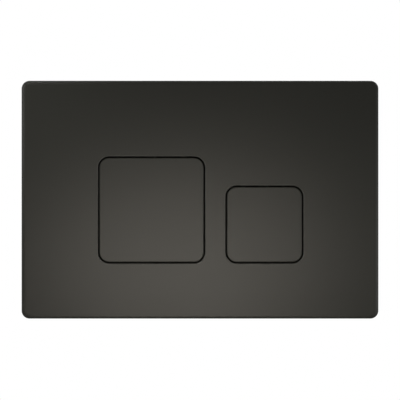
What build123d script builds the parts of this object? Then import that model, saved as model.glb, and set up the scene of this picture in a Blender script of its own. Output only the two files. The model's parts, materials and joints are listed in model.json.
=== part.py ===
from build123d import *
import os
from dataclasses import dataclass
from math import cos, radians, sin, tan

os.makedirs("parts", exist_ok=True)

# Frame: X to the right and Z up as seen from the room, Y into the wall, origin at the middle of the
# wall surface that the plate covers. Heights are measured from the wall towards the room (along -Y).

# Cover plate
plate_width = 246.0
plate_height = 164.0
plate_depth = 12.0
plate_wall = 2.5
plate_rim_wall = 2.5
plate_corner_radius = 5.5
plate_edge_round = 1.6
opening_edge_bevel = 0.35
collar_wall = 1.8
collar_depth = 8.5
gusset_wall = 1.5
gusset_length = 5.0
gusset_depth = 5.0
gusset_pitch = 44.0
gusset_columns = 5
gusset_rows = 3
stiffener_wall = 1.6
stiffener_depth = 3.0
stiffener_inset = 5.0

# Buttons
full_button_size = 71.8
half_button_size = 51.7
button_gap = 1.0
button_bridge = 16.0
button_group_shift = 0.5
button_base = 39.0
button_corner_radius = 6.8
button_edge_bevel = 0.35
button_wall = 2.5
button_skirt_wall = 1.8
button_brim_wall = 1.3
button_brim_overlap = 1.8
button_brim_clearance = 0.3
button_rib_wall = 1.4
button_rib_depth = 5.5
button_rib_bays = 3
pusher_depth = 10.0
pusher_nose_radius = 2.5
pusher_width = 12.0
stop_depth = 6.0
stop_width = 5.0
stop_height = 8.0

# Hinges
full_button_swing = 4.0
half_button_swing = 5.4
full_arm_spacing = 44.0
half_arm_spacing = 28.0
hinge_clearance = 0.7
hinge_pin_radius = 1.5
hinge_pin_overhang = 1.0
hinge_pin_fit = 0.02
hinge_running_clearance = 0.05
hinge_eye_radius = 3.2
hinge_arm_width = 4.0
hinge_arm_root = 12.0
hinge_arm_gap = 0.5
hinge_post_width = 4.0
hinge_post_size = 6.0
notch_clearance = 0.8

# Return springs
spring_turns = 3
spring_turn_bends = 12
spring_pitch = 1.1
spring_coil_radius = 2.6
spring_wire_radius = 0.4
spring_wire_sides = 5
spring_seat_length = 4.0
spring_seat_width = 4.0
spring_seat_clearance = 0.05
spring_leg_clearance = 0.5

# Mounting frame
frame_inset = 9.5
frame_front_gap = 2.0
frame_wall = 2.0
frame_flange = 2.5
frame_flange_width = 15.0
frame_corner_radius = 8.0
frame_lip_wall = 2.0
frame_lip_rise = 5.0
frame_lip_reach = 3.5
frame_rib_wall = 1.6
frame_rib_pitch = 56.0
frame_rib_columns = 4
frame_rib_rows = 2
ear_height = 24.0
ear_margin = 4.0
bridge_wall = 2.5
bridge_height = 28.0
bridge_bend_radius = 5.0
bridge_rib_wall = 2.0
bridge_rib_depth = 5.5
bridge_clearance = 0.7
guide_wall = 2.4
guide_length = 14.0

# Snap hooks between cover plate and mounting frame
snap_spacing = 150.0
snap_width = 12.0
snap_wall = 1.8
snap_barb = 1.6
snap_barb_length = 3.4
snap_tip_height = 1.2
snap_clearance = 0.3

# Fixing studs with their washers and nuts
stud_button_gap = 12.45
stud_inset = 11.0
stud_radius = 3.0
stud_neck_radius = 2.5
stud_reach = 55.0
stud_tip = 0.6
stud_tip_clearance = 0.5
stud_slot_clearance = 0.3
stud_slot_travel = 6.0
stud_thread_clearance = 0.1
washer_size = 17.0
washer_thickness = 1.2
fixing_nut_flats = 8.0
fixing_nut_length = 4.7
nut_sides = 6

# Push rods with their heads and lock nuts
full_rod_inset = 30.5
half_rod_inset = 9.5
rod_rise = 17.0
rod_radius = 4.0
rod_length = 60.0
rod_tip_radius = 3.0
rod_tip_length = 12.0
rod_guide_clearance = 0.08
rod_thread_clearance = 0.1
rod_head_flats = 14.0
rod_head_sides = 12
rod_head_length = 6.0
rod_head_cap = 2.2
rod_head_clearance = 0.3
lock_nut_flats = 13.0
lock_nut_length = 3.0

# Rubber buffers
buffer_offset = 22.0
buffer_drop = 9.0
buffer_size = 7.0
buffer_thickness = 3.0
buffer_post_size = 6.0
buffer_clearance = 0.3

# Heights above the wall that several pieces share
plate_inner = plate_depth - plate_wall
button_inner = plate_depth - button_wall
collar_rear = plate_depth - collar_depth
brim_front = collar_rear - button_brim_clearance
skirt_rear = brim_front - button_brim_wall
hinge_height = brim_front + spring_leg_clearance + spring_wire_radius - spring_coil_radius
pusher_rear = plate_depth - pusher_depth
stop_rear = plate_depth - stop_depth
spring_seat_rear = hinge_height + spring_coil_radius + spring_wire_radius + spring_seat_clearance
frame_rise = plate_inner - frame_front_gap
stud_front = plate_inner - stud_tip_clearance
fixing_nut_rear = stud_front - stud_tip - fixing_nut_length
ear_front = fixing_nut_rear - washer_thickness
ear_rear = ear_front - frame_flange
rod_head_front = pusher_rear - rod_head_clearance
lock_nut_front = rod_head_front - rod_head_length
rod_front = rod_head_front - rod_head_cap

# Widths and heights in the plane of the wall that several pieces share
button_floor = button_base - plate_height / 2
group_width = full_button_size + button_bridge + half_button_size
group_left = button_group_shift - group_width / 2
rod_z = button_floor + rod_rise
buffer_z = rod_z - buffer_drop
brim_reach = button_gap + button_brim_overlap
hinge_rise = brim_reach + hinge_clearance + spring_coil_radius + spring_wire_radius
spring_length = spring_turns * spring_pitch
spring_leg_length = hinge_rise + button_skirt_wall + spring_seat_length
spring_notch_width = spring_length + spring_seat_width
frame_width = plate_width - 2 * (plate_rim_wall + frame_inset)
frame_height = plate_height - 2 * (plate_rim_wall + frame_inset)
stud_x = group_width / 2 + brim_reach + stud_button_gap
window_width = 2 * (stud_x + stud_inset)
window_height = frame_height - 2 * frame_flange_width


@dataclass
class Button:
    name: str
    size: float
    x: float
    swing: float
    arm_spacing: float
    rod_x: float
    outward: int

    @property
    def z(self):
        return button_floor + self.size / 2

    @property
    def top(self):
        return button_floor + self.size

    @property
    def hinge_z(self):
        return self.top + hinge_rise

    @property
    def opening(self):
        return self.size + 2 * button_gap

    @property
    def collar(self):
        return self.opening + 2 * collar_wall

    @property
    def brim(self):
        return self.size + 2 * brim_reach

    @property
    def buffer_x(self):
        return self.rod_x + self.outward * buffer_offset

    @property
    def rod_stroke(self):
        return (self.hinge_z - rod_z) * radians(self.swing)

    @property
    def post_offset(self):
        return self.arm_spacing / 2 + hinge_arm_width / 2 + hinge_arm_gap + hinge_post_width / 2

    # Height of the buffer's face: just behind where the stop rib ends its swing
    @property
    def buffer_front(self):
        angle = radians(self.swing)
        fall = (self.hinge_z - buffer_z) * sin(angle)
        return hinge_height + (stop_rear - hinge_height) * cos(angle) - fall - buffer_clearance


full_flush = Button(
    name="full_flush",
    size=full_button_size,
    x=group_left + full_button_size / 2,
    swing=full_button_swing,
    arm_spacing=full_arm_spacing,
    rod_x=group_left + full_button_size - full_rod_inset,
    outward=-1,
)
half_flush = Button(
    name="half_flush",
    size=half_button_size,
    x=group_left + group_width - half_button_size / 2,
    swing=half_button_swing,
    arm_spacing=half_arm_spacing,
    rod_x=group_left + full_button_size + button_bridge + half_rod_inset,
    outward=1,
)
buttons = [full_flush, half_flush]
sides = {"left": -1, "right": 1}

opening_corner_radius = button_corner_radius + button_gap
collar_corner_radius = opening_corner_radius + collar_wall
brim_corner_radius = button_corner_radius + brim_reach
rod_stroke = max(button.rod_stroke for button in buttons)
bridge_front = lock_nut_front - lock_nut_length - rod_stroke - bridge_clearance
bridge_rear = bridge_front - bridge_wall
bridge_x = window_width / 2 + frame_lip_wall


# Cover plate: a tray with a rolled front edge, collared openings, hinge posts, ribs and snap hooks
with BuildPart() as cover_plate:
    with BuildSketch(Plane.XZ):
        RectangleRounded(plate_width, plate_height, plate_corner_radius)
    extrude(amount=plate_depth)
    fillet(cover_plate.faces().sort_by(Axis.Y)[0].edges(), radius=plate_edge_round)
    cavity_width = plate_width - 2 * plate_rim_wall
    cavity_height = plate_height - 2 * plate_rim_wall
    with BuildSketch(Plane.XZ):
        RectangleRounded(cavity_width, cavity_height, plate_corner_radius - plate_rim_wall)
    extrude(amount=plate_inner, mode=Mode.SUBTRACT)

    # Gussets between the front wall and the rim
    with BuildSketch(Plane.XZ.offset(plate_inner - gusset_depth)):
        with GridLocations(gusset_pitch, cavity_height - gusset_length, gusset_columns, 2):
            Rectangle(gusset_wall, gusset_length)
        with GridLocations(cavity_width - gusset_length, gusset_pitch, 2, gusset_rows):
            Rectangle(gusset_length, gusset_wall)
    extrude(amount=gusset_depth)

    # Stiffening ribs above and below the openings, tied to the collars
    stiffener_z = window_height / 2 - stiffener_inset
    stiffener_length = window_width - 2 * stiffener_inset
    with BuildSketch(Plane.XZ.offset(plate_inner - stiffener_depth)):
        with GridLocations(0, 2 * stiffener_z, 1, 2):
            Rectangle(stiffener_length, stiffener_wall)
        for button in buttons:
            with Locations((button.x, 0)):
                with GridLocations(button.arm_spacing / 2, 0, 2, 1):
                    Rectangle(stiffener_wall, 2 * stiffener_z)
    extrude(amount=stiffener_depth)

    # Collars, with ribs across the bridge between them
    with BuildSketch(Plane.XZ.offset(collar_rear)):
        for button in buttons:
            with Locations((button.x, button.z)):
                RectangleRounded(button.collar, button.collar, collar_corner_radius)
        with Locations((full_flush.x + full_flush.size / 2 + button_bridge / 2, half_flush.z)):
            with GridLocations(0, half_flush.size / button_rib_bays, 1, button_rib_bays):
                Rectangle(button_bridge, stiffener_wall)
    extrude(amount=plate_inner - collar_rear)
    with BuildSketch(Plane.XZ.offset(collar_rear)):
        for button in buttons:
            with Locations((button.x, button.z)):
                RectangleRounded(button.opening, button.opening, opening_corner_radius)
    extrude(amount=plate_depth - collar_rear, mode=Mode.SUBTRACT)
    front_face = cover_plate.faces().sort_by(Axis.Y)[0]
    chamfer([wire.edges() for wire in front_face.inner_wires()], length=opening_edge_bevel)

    # Notches in the top of each collar for the hinge arms and the spring's lower leg
    for button in buttons:
        with BuildSketch(Plane.XZ.offset(collar_rear)):
            with Locations((button.x, button.top + button_gap + collar_wall / 2)):
                with GridLocations(button.arm_spacing, 0, 2, 1):
                    Rectangle(hinge_arm_width + 2 * notch_clearance, collar_wall)
                Rectangle(spring_notch_width, collar_wall)
        extrude(amount=plate_inner - collar_rear, mode=Mode.SUBTRACT)

    # Hinge posts, bored for the pins, and the seat of the spring's upper leg
    for button in buttons:
        for side in sides.values():
            with BuildSketch(Plane.YZ.offset(button.x + side * button.post_offset)):
                post_rear = hinge_height - hinge_post_size / 2
                with Locations((-(plate_inner + post_rear) / 2, button.hinge_z)):
                    Rectangle(plate_inner - post_rear, hinge_post_size)
                with Locations((-hinge_height, button.hinge_z)):
                    Circle(hinge_pin_radius + hinge_pin_fit, mode=Mode.SUBTRACT)
            extrude(amount=hinge_post_width / 2, both=True)
        seat_z = button.hinge_z + spring_leg_length - spring_seat_length / 2
        seat_x = button.x - spring_length / 2
        with BuildSketch(Plane.XZ.offset(spring_seat_rear)):
            with Locations((seat_x, seat_z)):
                Rectangle(spring_seat_width, spring_seat_length)
        extrude(amount=plate_inner - spring_seat_rear)

    # Snap hooks along the top and bottom, each with a barb that reaches into the frame's slot
    for end in (1, -1):
        hook_inner = frame_height / 2 + snap_clearance
        hook_outer = hook_inner + snap_wall
        barb_tip = hook_inner - snap_barb
        catch_height = snap_tip_height + snap_barb_length
        for side in sides.values():
            with BuildSketch(Plane.YZ.offset(side * snap_spacing / 2)):
                with BuildLine():
                    Polyline(
                        (-plate_inner, end * hook_inner),
                        (-catch_height, end * hook_inner),
                        (-catch_height, end * barb_tip),
                        (-snap_tip_height, end * hook_inner),
                        (-snap_tip_height, end * hook_outer),
                        (-plate_inner, end * hook_outer),
                        close=True,
                    )
                make_face()
            extrude(amount=snap_width / 2, both=True)
cover_plate.part.label = "cover_plate"
export_step(cover_plate.part, "parts/cover_plate.step")


# Buttons: skirted caps with a brim, ribs, hinge arms, a pusher nose and a stop rib
for button in buttons:
    with BuildPart() as flush_button:
        with BuildSketch(Plane.XZ.offset(button_inner)):
            with Locations((button.x, button.z)):
                RectangleRounded(button.size, button.size, button_corner_radius)
        extrude(amount=button_wall)
        chamfer(flush_button.faces().sort_by(Axis.Y)[0].edges(), length=button_edge_bevel)
        inside = button.size - 2 * button_skirt_wall
        with BuildSketch(Plane.XZ.offset(skirt_rear)):
            with Locations((button.x, button.z)):
                RectangleRounded(button.size, button.size, button_corner_radius)
                RectangleRounded(
                    inside, inside, button_corner_radius - button_skirt_wall, mode=Mode.SUBTRACT
                )
        extrude(amount=button_inner - skirt_rear)

        # Brim that hooks behind the collar, holds the face flush and closes the gap from behind
        with BuildSketch(Plane.XZ.offset(skirt_rear)):
            with Locations((button.x, button.z)):
                RectangleRounded(button.brim, button.brim, brim_corner_radius)
                RectangleRounded(
                    inside, inside, button_corner_radius - button_skirt_wall, mode=Mode.SUBTRACT
                )
        extrude(amount=button_brim_wall)

        # Ribs across the back
        rib_pitch = button.size / button_rib_bays
        with BuildSketch(Plane.XZ.offset(plate_depth - button_rib_depth)):
            with Locations((button.x, button.z)):
                with GridLocations(rib_pitch, 0, button_rib_bays - 1, 1):
                    Rectangle(button_rib_wall, inside)
                with GridLocations(0, rib_pitch, 1, button_rib_bays - 1):
                    Rectangle(inside, button_rib_wall)
        extrude(amount=button_rib_depth - button_wall)

        # Hinge arms that reach up behind the plate, each ending in an eye
        for side in sides.values():
            with BuildSketch(Plane.YZ.offset(button.x + side * button.arm_spacing / 2)):
                with Locations((-hinge_height, button.hinge_z)):
                    Circle(hinge_eye_radius)
                root_depth = button_inner - skirt_rear
                with Locations((-skirt_rear - root_depth / 2, button.top - hinge_arm_root / 2)):
                    Rectangle(root_depth, hinge_arm_root)
                make_hull()
                with Locations((-hinge_height, button.hinge_z)):
                    Circle(hinge_pin_radius + hinge_running_clearance, mode=Mode.SUBTRACT)
            extrude(amount=hinge_arm_width / 2, both=True)

        # Window in the skirt for the spring's lower leg, and the leg's seat
        leg_x = button.x + spring_length / 2
        with BuildSketch(Plane.XZ.offset(brim_front)):
            with Locations((leg_x, button.top - button_skirt_wall / 2)):
                Rectangle(spring_seat_width, button_skirt_wall)
        extrude(amount=spring_seat_rear - brim_front, mode=Mode.SUBTRACT)
        with BuildSketch(Plane.XZ.offset(spring_seat_rear)):
            with Locations((leg_x, button.top - button_skirt_wall - spring_seat_length / 2)):
                Rectangle(spring_seat_width, spring_seat_length)
        extrude(amount=button_inner - spring_seat_rear)

        # Pusher with a round nose for the rod's head, and a stop rib that lands flat on the buffer
        nose_height = pusher_rear + pusher_nose_radius
        pusher_length = button_inner - nose_height
        with BuildSketch(Plane.YZ.offset(button.rod_x)):
            with Locations((-nose_height, rod_z)):
                Circle(pusher_nose_radius)
            with Locations((-nose_height - pusher_length / 2, rod_z)):
                Rectangle(pusher_length, 2 * pusher_nose_radius)
        extrude(amount=pusher_width / 2, both=True)
        with BuildSketch(Plane.YZ.offset(button.buffer_x)):
            stop_low = buffer_z - stop_height / 2
            stop_high = buffer_z + stop_height / 2
            stop_slope = stop_height / 2 * tan(radians(button.swing))
            with BuildLine():
                Polyline(
                    (-button_inner, stop_low),
                    (-button_inner, stop_high),
                    (-stop_rear + stop_slope, stop_high),
                    (-stop_rear - stop_slope, stop_low),
                    close=True,
                )
            make_face()
        extrude(amount=stop_width / 2, both=True)
    flush_button.part.label = f"{button.name}_button"
    export_step(flush_button.part, f"parts/{button.name}_button.step")


# Hinge pins: steel pins through posts and arms
for button in buttons:
    pin_half = button.post_offset + hinge_post_width / 2 + hinge_pin_overhang
    with BuildPart() as hinge_pin:
        with BuildSketch(Plane.YZ.offset(button.x)):
            with Locations((-hinge_height, button.hinge_z)):
                Circle(hinge_pin_radius)
        extrude(amount=pin_half, both=True)
    hinge_pin.part.label = f"{button.name}_hinge_pin"
    export_step(hinge_pin.part, f"parts/{button.name}_hinge_pin.step")


# Return springs: torsion springs wound round the pins, one leg on the cover and one in the button
for button in buttons:
    with BuildPart() as return_spring:
        with BuildLine() as wire:
            coil = Helix(spring_pitch, spring_length, spring_coil_radius, mode=Mode.PRIVATE)
            bend_count = spring_turns * spring_turn_bends
            bends = [coil @ (bend / bend_count) for bend in range(bend_count + 1)]
            fixed_tip = coil @ 0 - coil % 0 * spring_leg_length
            moving_tip = coil @ 1 + coil % 1 * spring_leg_length
            Polyline(fixed_tip, *bends, moving_tip)
        with BuildSketch(Plane(origin=wire.line @ 0, z_dir=wire.line % 0)):
            RegularPolygon(spring_wire_radius, spring_wire_sides)
        sweep(path=wire.line, transition=Transition.RIGHT)
    seat = Plane(
        origin=(button.x - spring_length / 2, -hinge_height, button.hinge_z),
        x_dir=(0, -1, 0),
        z_dir=(1, 0, 0),
    )
    placed_spring = seat.location * return_spring.part
    placed_spring.label = f"{button.name}_return_spring"
    export_step(placed_spring, f"parts/{button.name}_return_spring.step")


# Mounting frame: a flanged frame on the wall with a lip, ears for the studs and a bridge for the rods
with BuildPart() as mounting_frame:
    with BuildSketch(Plane.XZ):
        RectangleRounded(frame_width, frame_height, frame_corner_radius)
        Rectangle(window_width, window_height, mode=Mode.SUBTRACT)
    extrude(amount=frame_flange)
    with BuildSketch(Plane.XZ):
        RectangleRounded(frame_width, frame_height, frame_corner_radius)
        offset(amount=-frame_wall, mode=Mode.SUBTRACT)
    extrude(amount=frame_rise)
    with BuildSketch(Plane.XZ.offset(-frame_lip_reach)):
        Rectangle(window_width + 2 * frame_lip_wall, window_height + 2 * frame_lip_wall)
        Rectangle(window_width, window_height, mode=Mode.SUBTRACT)
    extrude(amount=frame_lip_reach + frame_lip_rise)

    # Ribs from the lip to the outer wall
    end_rib_length = frame_flange_width - frame_lip_wall
    side_rib_length = (frame_width - window_width) / 2 - frame_lip_wall
    with BuildSketch(Plane.XZ.offset(frame_flange)):
        with GridLocations(frame_rib_pitch, frame_height - end_rib_length, frame_rib_columns, 2):
            Rectangle(frame_rib_wall, end_rib_length)
        with GridLocations(frame_width - side_rib_length, frame_rib_pitch, 2, frame_rib_rows):
            Rectangle(side_rib_length, frame_rib_wall)
    extrude(amount=frame_lip_rise - frame_flange)

    # Slotted ears for the studs
    slot_width = 2 * (stud_neck_radius + stud_slot_clearance)
    slot_length = slot_width + stud_slot_travel
    ear_length = stud_inset + slot_length / 2 + ear_margin
    with BuildSketch(Plane.XZ.offset(ear_front)):
        with GridLocations(window_width - ear_length, 0, 2, 1):
            Rectangle(ear_length, ear_height)
        with GridLocations(2 * stud_x, 0, 2, 1):
            SlotOverall(slot_length, slot_width, mode=Mode.SUBTRACT)
    extrude(amount=-frame_flange)

    # Slots for the cover's snap hooks
    snap_slot_length = snap_barb_length + 2 * snap_clearance
    with BuildSketch(Plane.XZ.offset(snap_tip_height - snap_clearance)):
        with GridLocations(snap_spacing, frame_height - frame_wall, 2, 2):
            Rectangle(snap_width + 2 * snap_clearance, frame_wall)
    extrude(amount=snap_slot_length, mode=Mode.SUBTRACT)

    # Bridge that dips into the wall behind the buttons and carries the rod guides and buffer posts
    with BuildSketch(Plane.XY.offset(rod_z - bridge_height / 2)):
        with BuildLine():
            FilletPolyline(
                (-bridge_x, -frame_flange),
                (-bridge_x, -bridge_rear),
                (bridge_x, -bridge_rear),
                (bridge_x, -frame_flange),
                radius=bridge_bend_radius,
            )
            offset(amount=bridge_wall, side=Side.RIGHT)
        make_face()
    extrude(amount=bridge_height)
    with BuildSketch(Plane.XZ.offset(bridge_rear)):
        with Locations((0, rod_z)):
            with GridLocations(0, bridge_height - bridge_rib_wall, 1, 2):
                Rectangle(2 * (bridge_x - bridge_bend_radius), bridge_rib_wall)
    extrude(amount=-bridge_rib_depth)
    for button in buttons:
        with BuildSketch(Plane.XZ.offset(bridge_front)):
            with Locations((button.rod_x, rod_z)):
                Circle(rod_radius + rod_guide_clearance + guide_wall)
        extrude(amount=-guide_length)
        with BuildSketch(Plane.XZ.offset(bridge_front)):
            with Locations((button.rod_x, rod_z)):
                Circle(rod_radius + rod_guide_clearance)
        extrude(amount=-guide_length, mode=Mode.SUBTRACT)
        with BuildSketch(Plane.XZ.offset(bridge_front)):
            with Locations((button.buffer_x, buffer_z)):
                Rectangle(buffer_post_size, buffer_post_size)
        extrude(amount=button.buffer_front - buffer_thickness - bridge_front)
mounting_frame.part.label = "mounting_frame"
export_step(mounting_frame.part, "parts/mounting_frame.step")


# Fixing studs: a shoulder behind the frame's ear, and a square washer and a nut in front of it
for side_name, side in sides.items():
    with BuildPart() as fixing_stud:
        with BuildSketch(Plane.XZ.offset(-stud_reach)):
            with Locations((side * stud_x, 0)):
                Circle(stud_radius)
        extrude(amount=stud_reach + ear_rear)
        with BuildSketch(Plane.XZ.offset(ear_rear)):
            with Locations((side * stud_x, 0)):
                Circle(stud_neck_radius)
        extrude(amount=stud_front - ear_rear)
    fixing_stud.part.label = f"fixing_stud_{side_name}"
    export_step(fixing_stud.part, f"parts/fixing_stud_{side_name}.step")

    with BuildPart() as fixing_washer:
        with BuildSketch(Plane.XZ.offset(ear_front)):
            with Locations((side * stud_x, 0)):
                Rectangle(washer_size, washer_size)
                Circle(stud_neck_radius + stud_slot_clearance, mode=Mode.SUBTRACT)
        extrude(amount=washer_thickness)
    fixing_washer.part.label = f"fixing_washer_{side_name}"
    export_step(fixing_washer.part, f"parts/fixing_washer_{side_name}.step")

    with BuildPart() as fixing_nut:
        with BuildSketch(Plane.XZ.offset(fixing_nut_rear)):
            with Locations((side * stud_x, 0)):
                RegularPolygon(fixing_nut_flats / 2, nut_sides, major_radius=False)
                Circle(stud_neck_radius + stud_thread_clearance, mode=Mode.SUBTRACT)
        extrude(amount=fixing_nut_length)
    fixing_nut.part.label = f"fixing_nut_{side_name}"
    export_step(fixing_nut.part, f"parts/fixing_nut_{side_name}.step")


# Push rods, each with a flat head screwed on its front end and a lock nut behind the head
for button in buttons:
    with BuildPart() as push_rod:
        with BuildSketch(Plane.XZ.offset(rod_front)):
            with Locations((button.rod_x, rod_z)):
                Circle(rod_radius)
        extrude(amount=rod_tip_length - rod_length)
        with BuildSketch(Plane.XZ.offset(rod_front - rod_length)):
            with Locations((button.rod_x, rod_z)):
                Circle(rod_tip_radius)
        extrude(amount=rod_tip_length)
    push_rod.part.label = f"{button.name}_push_rod"
    export_step(push_rod.part, f"parts/{button.name}_push_rod.step")

    with BuildPart() as rod_head:
        with BuildSketch(Plane.XZ.offset(lock_nut_front)):
            with Locations((button.rod_x, rod_z)):
                RegularPolygon(rod_head_flats / 2, rod_head_sides, major_radius=False)
        extrude(amount=rod_head_length)
        with BuildSketch(Plane.XZ.offset(lock_nut_front)):
            with Locations((button.rod_x, rod_z)):
                Circle(rod_radius + rod_thread_clearance)
        extrude(amount=rod_head_length - rod_head_cap, mode=Mode.SUBTRACT)
    rod_head.part.label = f"{button.name}_rod_head"
    export_step(rod_head.part, f"parts/{button.name}_rod_head.step")

    with BuildPart() as lock_nut:
        with BuildSketch(Plane.XZ.offset(lock_nut_front)):
            with Locations((button.rod_x, rod_z)):
                RegularPolygon(lock_nut_flats / 2, nut_sides, major_radius=False)
                Circle(rod_radius + rod_thread_clearance, mode=Mode.SUBTRACT)
        extrude(amount=-lock_nut_length)
    lock_nut.part.label = f"{button.name}_lock_nut"
    export_step(lock_nut.part, f"parts/{button.name}_lock_nut.step")


# Rubber buffers: pads on the ends of the bridge's posts
for button in buttons:
    with BuildPart() as buffer:
        with BuildSketch(Plane.XZ.offset(button.buffer_front)):
            with Locations((button.buffer_x, buffer_z)):
                Rectangle(buffer_size, buffer_size)
        extrude(amount=-buffer_thickness)
    buffer.part.label = f"{button.name}_buffer"
    export_step(buffer.part, f"parts/{button.name}_buffer.step")
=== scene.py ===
import bpy
import bmesh
import json
from math import cos, sin, pi, radians, sqrt, tau
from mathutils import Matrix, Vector


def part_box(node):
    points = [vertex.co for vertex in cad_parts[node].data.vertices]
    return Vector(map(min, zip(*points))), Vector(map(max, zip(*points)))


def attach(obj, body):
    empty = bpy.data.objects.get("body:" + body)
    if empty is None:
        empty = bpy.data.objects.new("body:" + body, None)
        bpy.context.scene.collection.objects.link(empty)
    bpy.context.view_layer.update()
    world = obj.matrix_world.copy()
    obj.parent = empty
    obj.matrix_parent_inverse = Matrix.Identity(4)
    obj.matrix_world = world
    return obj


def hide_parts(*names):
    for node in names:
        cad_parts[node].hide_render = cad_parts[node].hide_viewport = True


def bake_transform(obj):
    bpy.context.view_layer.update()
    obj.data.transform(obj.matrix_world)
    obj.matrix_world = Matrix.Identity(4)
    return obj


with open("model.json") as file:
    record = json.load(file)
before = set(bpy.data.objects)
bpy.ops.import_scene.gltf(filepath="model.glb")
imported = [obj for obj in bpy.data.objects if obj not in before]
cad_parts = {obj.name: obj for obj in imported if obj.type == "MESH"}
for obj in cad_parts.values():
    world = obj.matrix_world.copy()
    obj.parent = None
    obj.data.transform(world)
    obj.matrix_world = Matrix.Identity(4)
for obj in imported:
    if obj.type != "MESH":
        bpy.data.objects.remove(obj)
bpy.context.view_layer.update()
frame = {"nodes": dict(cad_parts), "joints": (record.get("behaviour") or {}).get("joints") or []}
scene = bpy.context.scene
nodes = frame["nodes"]
hinges = {joint["child"]: joint for joint in frame["joints"] if joint["type"] == "hinge"}
print("frame loaded:", len(nodes), "nodes,", len(hinges), "hinges")


# small helpers for node trees

def newMaterial(name):
    material = bpy.data.materials.new(name)
    material.use_nodes = True
    tree = material.node_tree
    return material, tree, tree.nodes["Principled BSDF"]


def addNode(tree, kind, links=None, **settings):
    node = tree.nodes.new(kind)
    for key, value in settings.items():
        setattr(node, key, value)
    for socket, value in (links or {}).items():
        if isinstance(value, bpy.types.NodeSocket):
            tree.links.new(value, node.inputs[socket])
        else:
            node.inputs[socket].default_value = value
    return node


def addGroup(tree, group, **values):
    node = tree.nodes.new("ShaderNodeGroup")
    node.node_tree = group
    for key, value in values.items():
        node.inputs[key].default_value = value
    return node


def newGroup(name, inputs, outputs):
    group = bpy.data.node_groups.new(name, "ShaderNodeTree")
    for label, start in inputs.items():
        kind = "NodeSocketColor" if isinstance(start, tuple) else "NodeSocketFloat"
        group.interface.new_socket(label, in_out="INPUT", socket_type=kind).default_value = start
    for label, kind in outputs.items():
        group.interface.new_socket(label, in_out="OUTPUT", socket_type=kind)
    return group, group.nodes.new("NodeGroupInput"), group.nodes.new("NodeGroupOutput")


def paint(material, *names):
    for name in names:
        nodes[name].data.materials.clear()
        nodes[name].data.materials.append(material)


# moulded grain: fine spark-eroded texture with slow changes of tone and gloss over the moulding

grainMix = {"fineDetail": 3.0, "fineRoughness": 0.62, "slowDetail": 4.0, "slowRoughness": 0.55,
            "speckShare": 0.35, "darkBelow": 0.4, "lightAbove": 0.95}


def makeMouldedGrain():
    group, given, out = newGroup(
        "mouldedGrain",
        {"grainScale": 3000.0, "toneScale": 14.0, "dark": (0, 0, 0, 1), "light": (0, 0, 0, 1),
         "dullest": 0.5, "glossiest": 0.4},
        {"Colour": "NodeSocketColor", "Roughness": "NodeSocketFloat", "Height": "NodeSocketFloat"},
    )
    where = addNode(group, "ShaderNodeTexCoord").outputs["Object"]
    fine = addNode(group, "ShaderNodeTexNoise", {
        "Vector": where, "Scale": given.outputs["grainScale"],
        "Detail": grainMix["fineDetail"], "Roughness": grainMix["fineRoughness"]})
    pits = addNode(group, "ShaderNodeTexVoronoi", {
        "Vector": where, "Scale": given.outputs["grainScale"]}, feature="SMOOTH_F1")
    slow = addNode(group, "ShaderNodeTexNoise", {
        "Vector": where, "Scale": given.outputs["toneScale"],
        "Detail": grainMix["slowDetail"], "Roughness": grainMix["slowRoughness"]})
    speck = addNode(group, "ShaderNodeMath", {
        0: fine.outputs["Fac"], 1: grainMix["speckShare"]}, operation="MULTIPLY")
    tone = addNode(group, "ShaderNodeMath", {0: slow.outputs["Fac"], 1: speck.outputs[0]}, operation="ADD")
    span = {"From Min": grainMix["darkBelow"], "From Max": grainMix["lightAbove"]}
    share = addNode(group, "ShaderNodeMapRange", {"Value": tone.outputs[0], **span})
    colour = addNode(group, "ShaderNodeMix", {
        "Factor": share.outputs["Result"], "A": given.outputs["dark"], "B": given.outputs["light"]},
        data_type="RGBA")
    rough = addNode(group, "ShaderNodeMapRange", {
        "Value": tone.outputs[0], **span,
        "To Min": given.outputs["glossiest"], "To Max": given.outputs["dullest"]})
    height = addNode(group, "ShaderNodeMath", {
        0: fine.outputs["Fac"], 1: pits.outputs["Distance"]}, operation="ADD")
    group.links.new(colour.outputs["Result"], out.inputs["Colour"])
    group.links.new(rough.outputs["Result"], out.inputs["Roughness"])
    group.links.new(height.outputs[0], out.inputs["Height"])
    return group


# worked metal: streaks along one axis and a cloudy plated bloom

metalMix = {"streakDetail": 4.0, "bloomDetail": 3.0, "darkBelow": 0.65, "lightAbove": 1.35}


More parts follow.
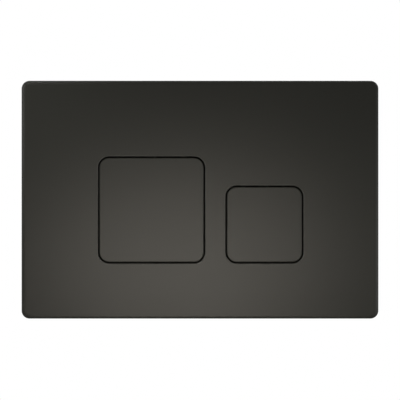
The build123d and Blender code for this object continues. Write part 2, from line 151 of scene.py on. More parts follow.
def makeWorkedMetal():
    group, given, out = newGroup(
        "workedMetal",
        {"streakX": 40.0, "streakY": 40.0, "streakZ": 40.0, "bloomScale": 180.0,
         "dark": (0, 0, 0, 1), "light": (1, 1, 1, 1), "dullest": 0.5, "glossiest": 0.2},
        {"Colour": "NodeSocketColor", "Roughness": "NodeSocketFloat", "Height": "NodeSocketFloat"},
    )
    where = addNode(group, "ShaderNodeTexCoord").outputs["Object"]
    stretch = addNode(group, "ShaderNodeCombineXYZ", {
        "X": given.outputs["streakX"], "Y": given.outputs["streakY"], "Z": given.outputs["streakZ"]})
    along = addNode(group, "ShaderNodeVectorMath", {0: where, 1: stretch.outputs[0]}, operation="MULTIPLY")
    streak = addNode(group, "ShaderNodeTexNoise", {
        "Vector": along.outputs[0], "Scale": 1.0, "Detail": metalMix["streakDetail"]})
    bloom = addNode(group, "ShaderNodeTexNoise", {
        "Vector": where, "Scale": given.outputs["bloomScale"], "Detail": metalMix["bloomDetail"]})
    both = addNode(group, "ShaderNodeMath", {
        0: streak.outputs["Fac"], 1: bloom.outputs["Fac"]}, operation="ADD")
    span = {"From Min": metalMix["darkBelow"], "From Max": metalMix["lightAbove"]}
    share = addNode(group, "ShaderNodeMapRange", {"Value": both.outputs[0], **span})
    colour = addNode(group, "ShaderNodeMix", {
        "Factor": share.outputs["Result"], "A": given.outputs["dark"], "B": given.outputs["light"]},
        data_type="RGBA")
    rough = addNode(group, "ShaderNodeMapRange", {
        "Value": both.outputs[0], **span,
        "To Min": given.outputs["dullest"], "To Max": given.outputs["glossiest"]})
    group.links.new(colour.outputs["Result"], out.inputs["Colour"])
    group.links.new(rough.outputs["Result"], out.inputs["Roughness"])
    group.links.new(streak.outputs["Fac"], out.inputs["Height"])
    return group


# painted shade: narrow gaps and deep corners, found by ambient occlusion, get a near-black painted colour and
# full roughness, as no light gets back out of them

# colour: the near-black painted shade put into the gaps
cavityMix = {"samples": 8, "colour": (0.0004, 0.0004, 0.0004, 1), "roughness": 1.0}


def makeCavityShade():
    group, given, out = newGroup(
        "cavityShade",
        {"Colour": (0, 0, 0, 1), "Roughness": 0.5, "reach": 0.006, "shut": 0.12, "open": 0.6},
        {"Colour": "NodeSocketColor", "Roughness": "NodeSocketFloat"},
    )
    around = addNode(group, "ShaderNodeAmbientOcclusion", {
        "Distance": given.outputs["reach"]}, samples=cavityMix["samples"])
    share = addNode(group, "ShaderNodeMapRange", {
        "Value": around.outputs["AO"], "From Min": given.outputs["shut"], "From Max": given.outputs["open"]})
    # painted shade: the base colour goes to near-black where the occlusion shuts in
    colour = addNode(group, "ShaderNodeMix", {
        "Factor": share.outputs["Result"], "A": cavityMix["colour"], "B": given.outputs["Colour"]},
        data_type="RGBA")
    rough = addNode(group, "ShaderNodeMapRange", {
        "Value": share.outputs["Result"], "To Min": cavityMix["roughness"],
        "To Max": given.outputs["Roughness"]})
    group.links.new(colour.outputs["Result"], out.inputs["Colour"])
    group.links.new(rough.outputs["Result"], out.inputs["Roughness"])
    return group


# edge wear and painted highlight: sharp edges made a little lighter, broken up by noise; on the cover plate
# this is mostly a painted highlight of light catching the edges round the openings and the rim, with a little
# wear

wearAndHighlightMix = {"samples": 6, "flatAbove": 0.998, "edgeBelow": 0.9,     # cosines, rounded to true normal
           "rubScale": 220.0, "rubDetail": 4.0, "rubLow": 0.3, "rubHigh": 0.6, "leastRub": 0.5}


def makeEdgeWearAndHighlight():
    group, given, out = newGroup(
        "edgeWearAndHighlight",
        {"Colour": (0, 0, 0, 1), "Roughness": 0.5, "wearAndHighlightColour": (0.02, 0.02, 0.02, 1),
         "wornRoughness": 0.4, "edgeWidth": 0.0006, "amount": 1.0},
        {"Colour": "NodeSocketColor", "Roughness": "NodeSocketFloat"},
    )
    rounded = addNode(group, "ShaderNodeBevel", {
        "Radius": given.outputs["edgeWidth"]}, samples=wearAndHighlightMix["samples"])
    flat = addNode(group, "ShaderNodeNewGeometry")
    match = addNode(group, "ShaderNodeVectorMath", {
        0: rounded.outputs["Normal"], 1: flat.outputs["Normal"]}, operation="DOT_PRODUCT")
    edge = addNode(group, "ShaderNodeMapRange", {
        "Value": match.outputs["Value"],
        "From Min": wearAndHighlightMix["flatAbove"], "From Max": wearAndHighlightMix["edgeBelow"]})
    where = addNode(group, "ShaderNodeTexCoord").outputs["Object"]
    rub = addNode(group, "ShaderNodeTexNoise", {
        "Vector": where, "Scale": wearAndHighlightMix["rubScale"], "Detail": wearAndHighlightMix["rubDetail"]})
    broken = addNode(group, "ShaderNodeMapRange", {
        "Value": rub.outputs["Fac"], "From Min": wearAndHighlightMix["rubLow"], "From Max": wearAndHighlightMix["rubHigh"],
        "To Min": wearAndHighlightMix["leastRub"]})
    share = addNode(group, "ShaderNodeMath", {
        0: edge.outputs["Result"], 1: broken.outputs["Result"]}, operation="MULTIPLY")
    mask = addNode(group, "ShaderNodeMath", {
        0: share.outputs[0], 1: given.outputs["amount"]}, operation="MULTIPLY")
    # lighter colour on sharp edges: a painted highlight on the cover plate, edge wear on the frame
    colour = addNode(group, "ShaderNodeMix", {
        "Factor": mask.outputs[0], "A": given.outputs["Colour"], "B": given.outputs["wearAndHighlightColour"]},
        data_type="RGBA")
    rough = addNode(group, "ShaderNodeMapRange", {
        "Value": mask.outputs[0],
        "To Min": given.outputs["Roughness"], "To Max": given.outputs["wornRoughness"]})
    group.links.new(colour.outputs["Result"], out.inputs["Colour"])
    group.links.new(rough.outputs["Result"], out.inputs["Roughness"])
    return group


# coating: front faces and the outer rim are coated, the moulding behind them is bare

coatTurn = {"bareFrom": -0.15, "coatedFrom": -0.4}      # Y of the normal, which is -1 on the front


def makeFrontCoat():
    group, given, out = newGroup(
        "frontCoat",
        {"Colour": (0, 0, 0, 1), "Roughness": 0.5, "bareColour": (0.03, 0.03, 0.03, 1),
         "bareRoughness": 0.4, "rimX": 1.0, "rimZ": 1.0},
        {"Colour": "NodeSocketColor", "Roughness": "NodeSocketFloat"},
    )
    where = addNode(group, "ShaderNodeTexCoord")
    facing = addNode(group, "ShaderNodeSeparateXYZ", {0: where.outputs["Normal"]})
    front = addNode(group, "ShaderNodeMapRange", {
        "Value": facing.outputs["Y"], "From Min": coatTurn["bareFrom"], "From Max": coatTurn["coatedFrom"]})
    place = addNode(group, "ShaderNodeSeparateXYZ", {0: where.outputs["Object"]})
    mask = front.outputs["Result"]
    for axis, rim in (("X", "rimX"), ("Z", "rimZ")):
        reach = addNode(group, "ShaderNodeMath", {0: place.outputs[axis]}, operation="ABSOLUTE")
        past = addNode(group, "ShaderNodeMath", {
            0: reach.outputs[0], 1: given.outputs[rim]}, operation="GREATER_THAN")
        mask = addNode(group, "ShaderNodeMath", {0: mask, 1: past.outputs[0]}, operation="MAXIMUM").outputs[0]
    colour = addNode(group, "ShaderNodeMix", {
        "Factor": mask, "A": given.outputs["bareColour"], "B": given.outputs["Colour"]}, data_type="RGBA")
    rough = addNode(group, "ShaderNodeMapRange", {
        "Value": mask, "To Min": given.outputs["bareRoughness"], "To Max": given.outputs["Roughness"]})
    group.links.new(colour.outputs["Result"], out.inputs["Colour"])
    group.links.new(rough.outputs["Result"], out.inputs["Roughness"])
    return group


mouldedGrain = makeMouldedGrain()
frontCoat = makeFrontCoat()
edgeWearAndHighlight = makeEdgeWearAndHighlight()
workedMetal = makeWorkedMetal()
cavityShade = makeCavityShade()


# the front edge runs out more softly at the sides and the top than other edges do

def softenRim(tree, edge, edgeRound, rim):
    where = addNode(tree, "ShaderNodeTexCoord").outputs["Object"]
    place = addNode(tree, "ShaderNodeSeparateXYZ", {0: where})
    aside = addNode(tree, "ShaderNodeMath", {0: place.outputs["X"]}, operation="ABSOLUTE")
    pastSide = addNode(tree, "ShaderNodeMath", {
        0: aside.outputs[0], 1: rim["startX"]}, operation="SUBTRACT")
    pastTop = addNode(tree, "ShaderNodeMath", {
        0: place.outputs["Z"], 1: rim["startZ"]}, operation="SUBTRACT")
    most = addNode(tree, "ShaderNodeMath", {
        0: pastSide.outputs[0], 1: pastTop.outputs[0]}, operation="MAXIMUM")
    atFront = addNode(tree, "ShaderNodeMath", {
        0: rim["frontY"], 1: place.outputs["Y"]}, operation="SUBTRACT")
    both = addNode(tree, "ShaderNodeMath", {
        0: most.outputs[0], 1: atFront.outputs[0]}, operation="MINIMUM")
    soft = addNode(tree, "ShaderNodeMapRange", {
        "Value": both.outputs[0], "From Max": rim["blend"], "To Min": edgeRound, "To Max": rim["round"]})
    tree.links.new(soft.outputs["Result"], edge.inputs["Radius"])


# a finish: a surface group, the layers its look names, a bump and, where wanted, a slightly rounded edge

edgeSamples = 8


def makeFinish(name, group, look):
    material, tree, shader = newMaterial(name)
    grain = addGroup(tree, group, **look["group"])
    bump = addNode(tree, "ShaderNodeBump", {
        "Strength": look["bumpStrength"], "Distance": look["bumpDepth"], "Height": grain.outputs["Height"]})
    if look.get("edgeRound"):
        edge = addNode(tree, "ShaderNodeBevel", {"Radius": look["edgeRound"]}, samples=edgeSamples)
        tree.links.new(edge.outputs["Normal"], bump.inputs["Normal"])
        if look.get("rim"):
            softenRim(tree, edge, look["edgeRound"], look["rim"])
    surface = grain
    for layer, key in ((frontCoat, "coat"), (edgeWearAndHighlight, "wearAndHighlight"), (cavityShade, "cavity")):
        if look.get(key):
            over = addGroup(tree, layer, **look[key])
            tree.links.new(surface.outputs["Colour"], over.inputs["Colour"])
            tree.links.new(surface.outputs["Roughness"], over.inputs["Roughness"])
            surface = over
    tree.links.new(surface.outputs["Colour"], shader.inputs["Base Color"])
    tree.links.new(surface.outputs["Roughness"], shader.inputs["Roughness"])
    tree.links.new(bump.outputs["Normal"], shader.inputs["Normal"])
    for socket, value in look["shader"].items():
        shader.inputs[socket].default_value = value
    return material


faceLook = {    # satin black, a touch olive
    "group": {"grainScale": 2600.0, "toneScale": 9.0, "dark": (0.0065, 0.0065, 0.0046, 1),
              "light": (0.0079, 0.0078, 0.0057, 1), "dullest": 0.455, "glossiest": 0.425},
    "bumpStrength": 0.06, "bumpDepth": 0.00005, "edgeRound": 0.0006,
    "rim": {"startX": 0.1165, "startZ": 0.0755, "frontY": -0.0095, "blend": 0.001, "round": 0.0035},
    "coat": {"bareColour": (0.03, 0.03, 0.029, 1), "bareRoughness": 0.36, "rimX": 0.1218, "rimZ": 0.0808},
    # painted highlight: the plate's edges round the openings and the rim painted lighter, as light catching
    # them, partly wear
    "wearAndHighlight": {"wearAndHighlightColour": (0.07, 0.0685, 0.063, 1), "wornRoughness": 0.4, "edgeWidth": 0.0006},
    # painted shade in the gaps round the buttons
    "cavity": {"reach": 0.006, "shut": 0.2, "open": 0.38},
    "shader": {"Specular IOR Level": 0.12},
}
buttonLook = {**faceLook, "wearAndHighlight": None, "rim": None}    # the same coating, its edges without the wear and painted highlight
frameLook = {   # dark grey structural moulding
    "group": {"grainScale": 1800.0, "toneScale": 16.0, "dark": (0.088, 0.09, 0.093, 1),
              "light": (0.118, 0.12, 0.123, 1), "dullest": 0.62, "glossiest": 0.5},
    "bumpStrength": 0.12, "bumpDepth": 0.00008, "edgeRound": 0.0004,
    "wearAndHighlight": {"wearAndHighlightColour": (0.17, 0.172, 0.175, 1), "wornRoughness": 0.45, "edgeWidth": 0.0009,
             "amount": 0.8},
    "shader": {"Specular IOR Level": 0.4},
}
rodLook = {     # slippery off-white rods
    "group": {"grainScale": 1400.0, "toneScale": 40.0, "dark": (0.5, 0.49, 0.45, 1),
              "light": (0.58, 0.57, 0.53, 1), "dullest": 0.42, "glossiest": 0.32},
    "bumpStrength": 0.05, "bumpDepth": 0.00005,
    "shader": {"Specular IOR Level": 0.45, "Subsurface Weight": 0.08, "Subsurface Scale": 0.002},
}
headLook = {    # grey screw-on heads and lock nuts
    "group": {"grainScale": 1600.0, "toneScale": 45.0, "dark": (0.17, 0.18, 0.19, 1),
              "light": (0.22, 0.23, 0.24, 1), "dullest": 0.56, "glossiest": 0.44},
    "bumpStrength": 0.1, "bumpDepth": 0.00006,
    "shader": {"Specular IOR Level": 0.4},
}
zincLook = {    # bright zinc plate on studs, washers and nuts
    "group": {"streakX": 900.0, "streakY": 120.0, "streakZ": 900.0, "bloomScale": 260.0,
              "dark": (0.3, 0.3, 0.285, 1), "light": (0.47, 0.47, 0.45, 1),
              "dullest": 0.44, "glossiest": 0.3},
    "bumpStrength": 0.08, "bumpDepth": 0.00003,
    "shader": {"Metallic": 1.0},
}
pinLook = {     # ground steel pins, streaked round the axis
    "group": {"streakX": 2600.0, "streakY": 60.0, "streakZ": 60.0, "bloomScale": 120.0,
              "dark": (0.34, 0.34, 0.335, 1), "light": (0.5, 0.5, 0.49, 1),
              "dullest": 0.34, "glossiest": 0.22},
    "bumpStrength": 0.06, "bumpDepth": 0.00002, "edgeRound": 0.0002,
    "shader": {"Metallic": 1.0},
}
springLook = {  # blackened spring wire
    "group": {"streakX": 700.0, "streakY": 700.0, "streakZ": 700.0, "bloomScale": 300.0,
              "dark": (0.022, 0.022, 0.023, 1), "light": (0.05, 0.05, 0.05, 1),
              "dullest": 0.55, "glossiest": 0.38},
    "bumpStrength": 0.05, "bumpDepth": 0.00002,
    "shader": {"Metallic": 1.0},
}
rubberLook = {  # dusty black rubber
    "group": {"grainScale": 1500.0, "toneScale": 90.0, "dark": (0.018, 0.018, 0.018, 1),
              "light": (0.034, 0.034, 0.033, 1), "dullest": 0.88, "glossiest": 0.74},
    "bumpStrength": 0.25, "bumpDepth": 0.0001,
    "shader": {"Specular IOR Level": 0.3},
}

facePlastic = makeFinish("facePlastic", mouldedGrain, faceLook)
buttonPlastic = makeFinish("buttonPlastic", mouldedGrain, buttonLook)
framePlastic = makeFinish("framePlastic", mouldedGrain, frameLook)
rodPlastic = makeFinish("rodPlastic", mouldedGrain, rodLook)
headPlastic = makeFinish("headPlastic", mouldedGrain, headLook)
zincPlate = makeFinish("zincPlate", workedMetal, zincLook)
pinSteel = makeFinish("pinSteel", workedMetal, pinLook)
springSteel = makeFinish("springSteel", workedMetal, springLook)
bufferRubber = makeFinish("bufferRubber", mouldedGrain, rubberLook)

paint(facePlastic, "cover_plate")
paint(buttonPlastic, "full_flush_button", "half_flush_button")
paint(framePlastic, "mounting_frame")
paint(pinSteel, "full_flush_hinge_pin", "half_flush_hinge_pin")
print("finishes made:", len(bpy.data.materials))


# pieces built round an axis along Y, from rings of points

def linkPiece(name, bm, material, body, node, sharpAngle=35):
    bmesh.ops.recalc_face_normals(bm, faces=bm.faces)
    mesh = bpy.data.meshes.new(name)
    bm.to_mesh(mesh)
    bm.free()
    mesh.shade_smooth()
    mesh.set_sharp_from_angle(angle=radians(sharpAngle))
    mesh.materials.append(material)
    piece = bpy.data.objects.new(name, mesh)
    scene.collection.objects.link(piece)
    if body:
        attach(piece, body)
    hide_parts(node)
    return piece


def nodeMiddle(node):
    low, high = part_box(node)
    return (low + high) / 2, low, high


def joinInto(bm, other):
    mesh = bpy.data.meshes.new("joined")
    other.to_mesh(mesh)
    other.free()
    bm.from_mesh(mesh)
    bpy.data.meshes.remove(mesh)


def skinLoops(bm, loops, closed=False):
    pairs = list(zip(loops, loops[1:]))
    if closed:
        pairs.append((loops[-1], loops[0]))
    for a, b in pairs:
        for i in range(len(a)):
            k = (i + 1) % len(a)
            bm.faces.new((a[i], a[k], b[k], b[i]))
    if not closed:
        bm.faces.new(loops[0])
        bm.faces.new(loops[-1])


def addRings(bm, centre, rings, steps, closed=False):
    loops = []
    for y, radius in rings:
        loop = []
        for i in range(steps):
            turn = tau * i / steps
            reach = radius(turn) if callable(radius) else radius
            loop.append(bm.verts.new((centre.x + reach * cos(turn), y, centre.z + reach * sin(turn))))
        loops.append(loop)
    skinLoops(bm, loops, closed)


threadForm = {"rootEnd": 0.2, "crestStart": 0.52, "crestEnd": 0.68}     # shares of a pitch
weldDistance = 1e-7


def addThread(bm, centre, start, end, thread):
    pitch, crest, root = thread["pitch"], thread["crest"], thread["root"]
    steps, lead = thread["steps"], thread["lead"]
    profile = [(0.0, root), (threadForm["rootEnd"], root), (threadForm["crestStart"], crest),
               (threadForm["crestEnd"], crest)]
    turns = int((end - start) / pitch) + 2
    rows = []
    for turn in range(-1, turns):
        for share, radius in profile:
            row = []
            for i in range(steps):
                y = start + (turn + share + i / steps) * pitch
                y = min(max(y, start), end)
                edge = min(y - start, end - y)
                reach = min(radius, root - lead + edge)
                angle = tau * i / steps
                row.append(bm.verts.new((centre.x + reach * cos(angle), y, centre.z + reach * sin(angle))))
            rows.append(row)
    each = len(profile)
    for r in range(len(rows) - 1):
        for i in range(steps - 1):
            bm.faces.new((rows[r][i], rows[r][i + 1], rows[r + 1][i + 1], rows[r + 1][i]))
        if r + each + 1 < len(rows):    # the last column meets the first one pitch further on
            bm.faces.new((rows[r][-1], rows[r + each][0], rows[r + each + 1][0], rows[r + 1][-1]))
    bmesh.ops.remove_doubles(bm, verts=bm.verts[:], dist=weldDistance)
    loose = [edge for edge in bm.edges if len(edge.link_faces) == 1]
    bmesh.ops.holes_fill(bm, edges=loose)


def hexReach(flats):
    return lambda turn: flats / 2 / cos((turn % (pi / 3)) - pi / 6)


def squareReach(size, corner):
    def reach(turn):
        x, z = abs(cos(turn)), abs(sin(turn))
        straight = size / 2 / max(x, z)
        inner = size / 2 - corner
        if straight * min(x, z) <= inner:
            return straight
        along = inner * (x + z)      # the corner's arc, from the quadratic for the ray
        return along + sqrt(along * along - 2 * inner * inner + corner * corner)
    return reach


def flutedReach(radius, depth, count):
    return lambda turn: radius - depth * (0.5 - 0.5 * cos(count * turn)) ** 2


def less(reach, amount):
    return lambda turn: reach(turn) - amount


# hexagon nuts: flat round ends, corners cut back by a cone, a chamfered bore

nutForm = {"endShare": 0.985, "coneSlope": 0.577, "steps": 72, "sharpAngle": 28}


def addNut(name, node, sizes, material, body):
    centre, low, high = nodeMiddle(node)
    bore, chamfer, steps = sizes["nutBore"], sizes["nutChamfer"], nutForm["steps"]
    hexagon = hexReach(sizes["nutFlats"])
    face = sizes["nutFlats"] / 2 * nutForm["endShare"]
    bm = bmesh.new()
    ends = []
    for end, inward in ((low.y, 1), (high.y, -1)):
        inner, rim, flat, corner = [], [], [], []
        for i in range(steps):
            turn = tau * i / steps
            reach = hexagon(turn)
            drop = (reach - face) * nutForm["coneSlope"]
            for loop, radius, depth in ((inner, bore, chamfer), (rim, bore + chamfer, 0),
                                        (flat, face, 0), (corner, reach, drop)):
                loop.append(bm.verts.new((centre.x + radius * cos(turn), end + inward * depth,
                                          centre.z + radius * sin(turn))))
        ends.append([inner, rim, flat, corner])
    skinLoops(bm, ends[0] + ends[1][::-1], closed=True)
    linkPiece(name, bm, material, body, node, nutForm["sharpAngle"])


# fixing studs with their washers and nuts

studSizes = {
    "earThickness": 0.0025, "sharpAngle": 50,
    "rear": {"pitch": 0.001, "crest": 0.003, "root": 0.00252, "steps": 28, "lead": 0.0004},
    "front": {"pitch": 0.0008, "crest": 0.0025, "root": 0.00211, "steps": 28, "lead": 0.0003},
    "washerCorner": 0.0022, "washerEdge": 0.00018, "washerPlay": 0.0003, "washerSteps": 96,
    "nutFlats": 0.008, "nutChamfer": 0.00052, "nutBore": 0.00225,
}


def makeFixing(side):
    stud, washer, nut = (f"fixing_{piece}_{side}" for piece in ("stud", "washer", "nut"))
    centre, low, high = nodeMiddle(stud)
    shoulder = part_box(washer)[1].y + studSizes["earThickness"]
    bm = bmesh.new()
    addThread(bm, centre, shoulder, high.y, studSizes["rear"])
    neck = bmesh.new()
    addThread(neck, centre, low.y, shoulder, studSizes["front"])
    joinInto(bm, neck)
    linkPiece(f"stud_{side}", bm, zincPlate, "plate", stud, studSizes["sharpAngle"])

    centre, low, high = nodeMiddle(washer)
    outline = squareReach(high.x - low.x, studSizes["washerCorner"])
    edge, bore = studSizes["washerEdge"], studSizes["front"]["crest"] + studSizes["washerPlay"]
    bm = bmesh.new()
    addRings(bm, centre, [
        (low.y, bore + edge), (low.y, less(outline, edge)), (low.y + edge, outline),
        (high.y - edge, outline), (high.y, less(outline, edge)), (high.y, bore + edge),
        (high.y - edge, bore), (low.y + edge, bore)], studSizes["washerSteps"], closed=True)
    linkPiece(f"washer_{side}", bm, zincPlate, "plate", washer)

    addNut(f"nut_{side}", nut, studSizes, zincPlate, "plate")


for side in ("left", "right"):
    makeFixing(side)
print("studs, washers and nuts made")


# push rods with their heads, lock nuts and buffers

rodSizes = {
    "thread": {"pitch": 0.00125, "crest": 0.004, "root": 0.00338, "steps": 32, "lead": 0.0004},
    "threadLength": 0.0125, "tipRadius": 0.003, "tipLength": 0.012, "tipChamfer": 0.0006,
    "neckRound": 0.0004, "shankLap": 0.0002, "shankSteps": 56,
    "headFlutes": 12, "fluteDepth": 0.0006, "headEdge": 0.0007, "headBore": 0.0039,
    "headBoreDepth": 0.0038, "headSteps": 144,
    "nutFlats": 0.013, "nutBore": 0.0037, "nutChamfer": 0.0005,
    "bufferCorner": 0.0012, "bufferEdge": 0.0006, "bufferSteps": 80,
    "edgeBend": 0.3,        # where a rounded edge bends, as a share of it
}


def roundedStart(y, outline, edge):
    bend = edge * rodSizes["edgeBend"]
    return [(y, less(outline, edge)), (y + bend, less(outline, bend)), (y + edge, outline)]


def makeRod(button):
    sizes = rodSizes
    body = f"{button}_rod"
    node = f"{button}_flush_push_rod"
    centre, low, high = nodeMiddle(node)
    radius, tip = (high.x - low.x) / 2, sizes["tipRadius"]
    threadEnd = low.y + sizes["threadLength"]
    step = high.y - sizes["tipLength"]
    bevel, neck = sizes["tipChamfer"], sizes["neckRound"]
    bm = bmesh.new()
    addThread(bm, centre, low.y, threadEnd, sizes["thread"])
    shank = bmesh.new()
    addRings(shank, centre, [
        (threadEnd - sizes["shankLap"], radius - neck), (threadEnd + neck, radius), (step - neck, radius),
        (step, radius - neck), (step, tip + neck), (step + neck, tip), (high.y - bevel, tip),
        (high.y, tip - bevel)], sizes["shankSteps"])
    joinInto(bm, shank)
    linkPiece(f"{button}Rod", bm, rodPlastic, body, node)

    node = f"{button}_flush_rod_head"
    centre, low, high = nodeMiddle(node)
    outline = flutedReach((high.z - low.z) / 2 * cos(pi / sizes["headFlutes"]), sizes["fluteDepth"],
                          sizes["headFlutes"])
    edge, bore, boreEnd = sizes["headEdge"], sizes["headBore"], high.y - sizes["headBoreDepth"]
    bm = bmesh.new()
    addRings(bm, centre, roundedStart(low.y, outline, edge) + [
        (high.y - edge, outline), (high.y, less(outline, edge)), (high.y, bore), (boreEnd, bore)],
        sizes["headSteps"])
    linkPiece(f"{button}RodHead", bm, headPlastic, body, node)

    addNut(f"{button}LockNut", f"{button}_flush_lock_nut", sizes, headPlastic, body)

    node = f"{button}_flush_buffer"
    centre, low, high = nodeMiddle(node)
    outline = squareReach(high.x - low.x, sizes["bufferCorner"])
    bm = bmesh.new()
    addRings(bm, centre, roundedStart(low.y, outline, sizes["bufferEdge"]) + [(high.y, outline)],
             sizes["bufferSteps"])
    linkPiece(f"{button}Buffer", bm, bufferRubber, "plate", node)


for button in ("full", "half"):
    makeRod(button)
print("rods, heads, lock nuts and buffers made")


# return springs: round wire wound on the hinge axis, twisted between the cover and the button

springSizes = {"turns": 3, "pitch": 0.0011, "coilRadius": 0.0026, "wireRadius": 0.0004, "wireSides": 12,
               "turnSteps": 40, "legSteps": 6, "sharpAngle": 60}


def makeSpring(button):
    sizes = springSizes
    node = f"{button}_flush_return_spring"
    axis = Vector(hinges[f"{button}_button"]["pos_m"])
    low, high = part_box(node)
    coil, wire, length = sizes["coilRadius"], sizes["wireRadius"], sizes["turns"] * sizes["pitch"]
    count = sizes["turns"] * sizes["turnSteps"]

    def coilPoint(share):
        turn = share * sizes["turns"] * tau
        return Vector((axis.x + (share - 0.5) * length, axis.y - coil * cos(turn), axis.z - coil * sin(turn)))

    coilPoints = [coilPoint(i / count) for i in range(count + 1)]
    slope = sizes["pitch"] / (tau * coil)
    rise, fall = high.z - axis.z, axis.z - low.z
    line = []
    for i in range(sizes["legSteps"], 0, -1):
        share = i / sizes["legSteps"]
        line.append(coilPoints[0] + Vector((-slope, 0, 1)) * rise * share)
    line += coilPoints
    for i in range(1, sizes["legSteps"] + 1):
        share = i / sizes["legSteps"]
        line.append(coilPoints[-1] + Vector((slope, 0, -1)) * fall * share)

    bm = bmesh.new()
    loops = []
    turns = [tau * k / sizes["wireSides"] for k in range(sizes["wireSides"])]
    for i, point in enumerate(line):
        ahead = (line[min(i + 1, len(line) - 1)] - line[max(i - 1, 0)]).normalized()
        side = ahead.cross(Vector((1, 0, 0))).normalized()
        up = ahead.cross(side)
        loops.append([bm.verts.new(point + wire * (side * cos(turn) + up * sin(turn))) for turn in turns])
    skinLoops(bm, loops)
    piece = linkPiece(f"{button}Spring", bm, springSteel, None, node, sizes["sharpAngle"])
    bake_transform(piece)


for button in ("full", "half"):
    makeSpring(button)
print("springs made")


# stage: pale floor well below the part, white surroundings, soft lamps

stageSizes = {"floorHeight": -0.3, "floorRadius": 0.85, "fadeFrom": 0.3, "rimSteps": 96,
              "floorTone": 0.86, "fibreTone": 0.985, "fibreScale": 160.0, "fibreDetail": 5.0,
              "floorRoughness": 0.9, "ambient": 0.63}


def makeFloor():
    material, tree, shader = newMaterial("floorPaper")
    where = addNode(tree, "ShaderNodeTexCoord").outputs["Object"]
    fibre = addNode(tree, "ShaderNodeTexNoise", {
        "Vector": where, "Scale": stageSizes["fibreScale"], "Detail": stageSizes["fibreDetail"]})
    tone = stageSizes["floorTone"]
    colour = addNode(tree, "ShaderNodeMix", {
        "Factor": fibre.outputs["Fac"], "A": (tone * stageSizes["fibreTone"],) * 3 + (1,),
        "B": (tone,) * 3 + (1,)}, data_type="RGBA")
    reach = addNode(tree, "ShaderNodeVectorMath", {0: where}, operation="LENGTH")
    fade = addNode(tree, "ShaderNodeMapRange", {
        "Value": reach.outputs["Value"], "From Min": stageSizes["floorRadius"],
        "From Max": stageSizes["fadeFrom"]}, interpolation_type="SMOOTHSTEP")
    tree.links.new(colour.outputs["Result"], shader.inputs["Base Color"])
    tree.links.new(fade.outputs["Result"], shader.inputs["Alpha"])
    shader.inputs["Roughness"].default_value = stageSizes["floorRoughness"]
    rim, steps = stageSizes["floorRadius"], stageSizes["rimSteps"]
    mesh = bpy.data.meshes.new("floor")
    turns = [tau * i / steps for i in range(steps)]
    mesh.from_pydata([(rim * cos(turn), rim * sin(turn), 0) for turn in turns], [], [tuple(range(steps))])
    mesh.materials.append(material)
    floor = bpy.data.objects.new("floor", mesh)
    floor.location.z = stageSizes["floorHeight"]
    scene.collection.objects.link(floor)


def makeSurroundings():
    world = bpy.data.worlds.new("studio")
    scene.world = world
    world.use_nodes = True
    tree = world.node_tree
    ambient = tree.nodes["Background"]
    ambient.inputs["Color"].default_value = (1, 1, 1, 1)
    ambient.inputs["Strength"].default_value = stageSizes["ambient"]
    paper = addNode(tree, "ShaderNodeBackground", {"Color": (1, 1, 1, 1), "Strength": 1.0})
    path = addNode(tree, "ShaderNodeLightPath")
    seen = addNode(tree, "ShaderNodeMath", {
        0: path.outputs["Is Camera Ray"], 1: path.outputs["Is Glossy Ray"]}, operation="MAXIMUM")
    seenThrough = addNode(tree, "ShaderNodeMath", {
        0: seen.outputs[0], 1: path.outputs["Is Transmission Ray"]}, operation="MAXIMUM")
    mix = addNode(tree, "ShaderNodeMixShader", {
        0: seenThrough.outputs[0], 1: ambient.outputs[0], 2: paper.outputs[0]})
    tree.links.new(mix.outputs[0], tree.nodes["World Output"].inputs["Surface"])


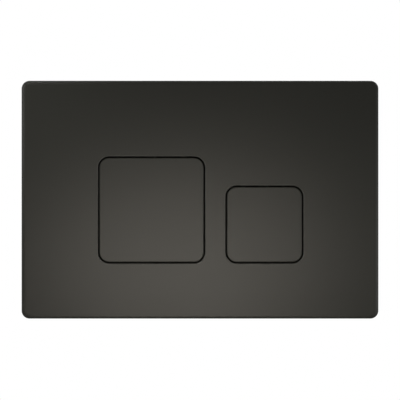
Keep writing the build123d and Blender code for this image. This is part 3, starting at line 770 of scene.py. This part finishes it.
lamps = {   # front makes the bright patch on the face, the rim lamps the light edges, the rest fill
    "front": {"place": (-0.0155, -0.396, -0.053), "aim": (-0.0155, 0, -0.053),
              "width": 0.21, "height": 0.107, "spread": 39.5, "watts": 0.1105, "colour": (1.0, 0.93, 0.85)},
    "rimLeft": {"place": (-0.373, -0.312, 0.06), "aim": (-0.123, -0.012, 0.085),
                "width": 0.06, "height": 0.03, "spread": 38, "watts": 0.028, "colour": (1, 1, 1)},
    "rimRight": {"place": (0.373, -0.312, -0.07), "aim": (0.123, -0.012, -0.04),
                 "width": 0.06, "height": 0.12, "spread": 40, "watts": 0.034, "colour": (1, 1, 1)},
    "rimTop": {"place": (-0.21, -0.312, 0.3), "aim": (-0.124, -0.012, 0.083),
               "width": 0.05, "height": 0.05, "spread": 22, "watts": 0.0105, "colour": (1, 1, 1)},
    "left": {"place": (-0.8, -0.42, 0.32), "aim": (0, 0, 0),
             "width": 0.3, "height": 0.3, "spread": 120, "watts": 1.9, "colour": (1, 1, 1)},
    "right": {"place": (0.85, -0.3, -0.1), "aim": (0, 0, 0),
              "width": 0.3, "height": 0.3, "spread": 120, "watts": 0.8, "colour": (1, 1, 1)},
    "top": {"place": (-0.3, -0.2, 0.85), "aim": (0, 0.02, 0),
            "width": 0.5, "height": 0.5, "spread": 140, "watts": 1.2, "colour": (1, 1, 1)},
    "back": {"place": (0.35, 1.0, 0.5), "aim": (0, 0.02, 0),
             "width": 0.6, "height": 0.6, "spread": 140, "watts": 4.5, "colour": (1, 1, 1)},
}


def makeLamps():
    for name, lamp in lamps.items():
        data = bpy.data.lights.new(name, "AREA")
        data.shape = "ELLIPSE"
        data.size, data.size_y = lamp["width"], lamp["height"]
        data.spread = radians(lamp["spread"])
        data.energy = lamp["watts"]
        data.color = lamp["colour"]
        thing = bpy.data.objects.new(name, data)
        thing.location = lamp["place"]
        beam = Vector(lamp["aim"]) - Vector(lamp["place"])
        thing.rotation_euler = beam.to_track_quat("-Z", "Y").to_euler()
        thing.visible_camera = False
        scene.collection.objects.link(thing)


# camera: long lens straight at the face, framed as the photograph is

view = {"distance": 2.0, "frameWidth": 0.2756, "imagePixels": 400, "centreRow": 199.69,
        "sensorMm": 36.0, "clipEnd": 20}


def makeCamera():
    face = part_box("cover_plate")[0].y
    data = bpy.data.cameras.new("camera")
    data.sensor_width = view["sensorMm"]
    data.lens = view["sensorMm"] * view["distance"] / view["frameWidth"]
    data.clip_end = view["clipEnd"]
    camera = bpy.data.objects.new("camera", data)
    drop = (view["imagePixels"] / 2 - view["centreRow"]) * view["frameWidth"] / view["imagePixels"]
    camera.location = (0, face - view["distance"], -drop)
    camera.rotation_euler = (radians(90), 0, 0)
    scene.collection.objects.link(camera)
    scene.camera = camera


makeFloor()
makeSurroundings()
makeLamps()
makeCamera()
scene.view_settings.view_transform = "Standard"
print("stage, lamps and camera set")
